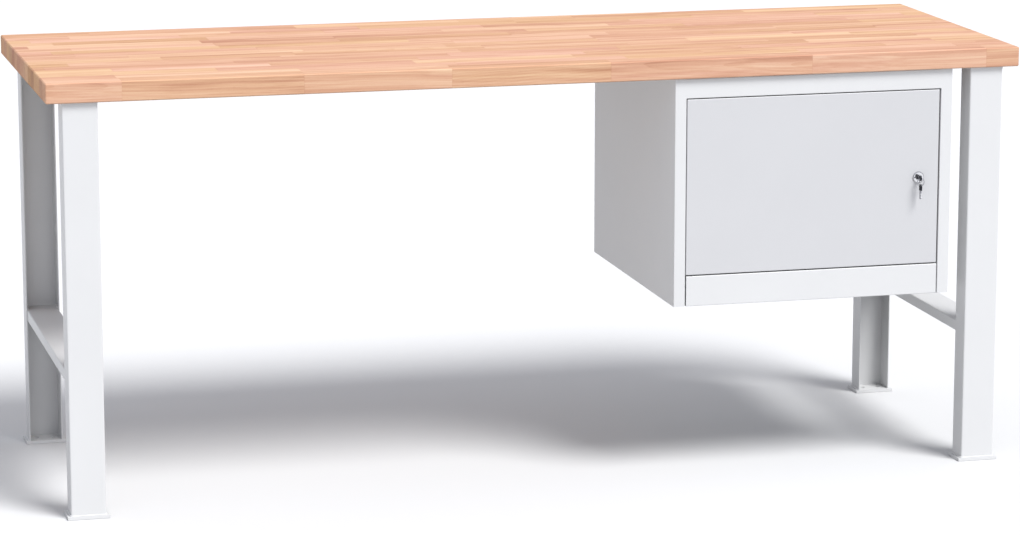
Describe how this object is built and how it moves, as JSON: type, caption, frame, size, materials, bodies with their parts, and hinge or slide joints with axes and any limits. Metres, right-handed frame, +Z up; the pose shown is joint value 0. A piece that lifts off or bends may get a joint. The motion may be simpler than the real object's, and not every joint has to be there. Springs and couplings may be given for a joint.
{
  "type": "workbench with cabinet",
  "caption": "Workbench with a glued beech worktop on folded steel channel legs and a suspended sheet-metal cabinet with a hinged, lockable door",
  "frame": {"origin": "on the floor, under the centre of the worktop", "axes": "+X to the right along the bench's length, +Y to the back, +Z up; the cabinet door faces -Y"},
  "size_m": [2, 0.7117, 0.87],
  "materials": {
    "beech": "oiled glued staves",
    "frame_paint": "satin powder coat",
    "door_paint": "satin powder coat",
    "zinc": "zinc plated",
    "chrome": "polished",
    "key_steel": "nickel plated",
    "key_plastic": "matte",
    "nylon": "matte",
    "rubber": "matte"
  },
  "bodies": {
    "bench": {"worktop": "beech", "leg_front_left": "frame_paint", "leg_front_right": "frame_paint", "leg_rear_left": "frame_paint", "leg_rear_right": "frame_paint", "foot_plate_front_left": "frame_paint", "foot_plate_front_right": "frame_paint", "foot_plate_rear_left": "frame_paint", "foot_plate_rear_right": "frame_paint", "top_plate_front_left": "frame_paint", "top_plate_front_right": "frame_paint", "top_plate_rear_left": "frame_paint", "top_plate_rear_right": "frame_paint", "stretcher_left": "frame_paint", "stretcher_right": "frame_paint", "leg_screws": "zinc", "cabinet_screws": "zinc", "cabinet_side_left": "frame_paint", "cabinet_side_right": "frame_paint", "header_rail": "frame_paint", "cabinet_top": "frame_paint", "cabinet_bottom": "frame_paint", "cabinet_back": "frame_paint", "shelf": "frame_paint", "shelf_support_left": "frame_paint", "shelf_support_right": "frame_paint", "door_buffers": "rubber", "hinge_bush_upper": "nylon", "hinge_bush_lower": "nylon"},
    "door": {"door_panel": "door_paint", "door_stiffener": "door_paint", "hinge_pin_upper": "zinc", "hinge_pin_lower": "zinc", "lock_housing": "chrome", "lock_nut": "zinc"},
    "lock": {"lock_plug": "chrome", "lock_cam": "zinc", "cam_screw": "zinc"},
    "key": {"key_head": "key_plastic", "key_blade": "key_steel"},
    "ring": {"key_ring": "key_steel"},
    "spare_key": {"spare_key_head": "key_plastic", "spare_key_blade": "key_steel"}
  },
  "joints": [
    {"name": "door_hinge", "type": "hinge", "parent": "bench", "child": "door", "pos_m": [0.30452, -0.335, 0.60675], "axis": [0, 0, -1], "range_deg": [0, 110]},
    {"name": "lock_turn", "type": "hinge", "parent": "door", "child": "lock", "pos_m": [0.789, -0.341, 0.60675], "axis": [0, -1, 0], "range_deg": [0, 90]},
    {"name": "key_withdraw", "type": "slide", "parent": "lock", "child": "key", "axis": [0, -1, 0], "range_m": [0, 0.017]},
    {"name": "ring_swing", "type": "hinge", "parent": "key", "child": "ring", "pos_m": [0.789, -0.3562, 0.6063], "axis": [1, 0, 0], "range_deg": [-45, 8]},
    {"name": "spare_key_swing", "type": "hinge", "parent": "ring", "child": "spare_key", "pos_m": [0.789, -0.3562, 0.5913], "axis": [1, 0, 0], "range_deg": [-45, 10]}
  ]
}
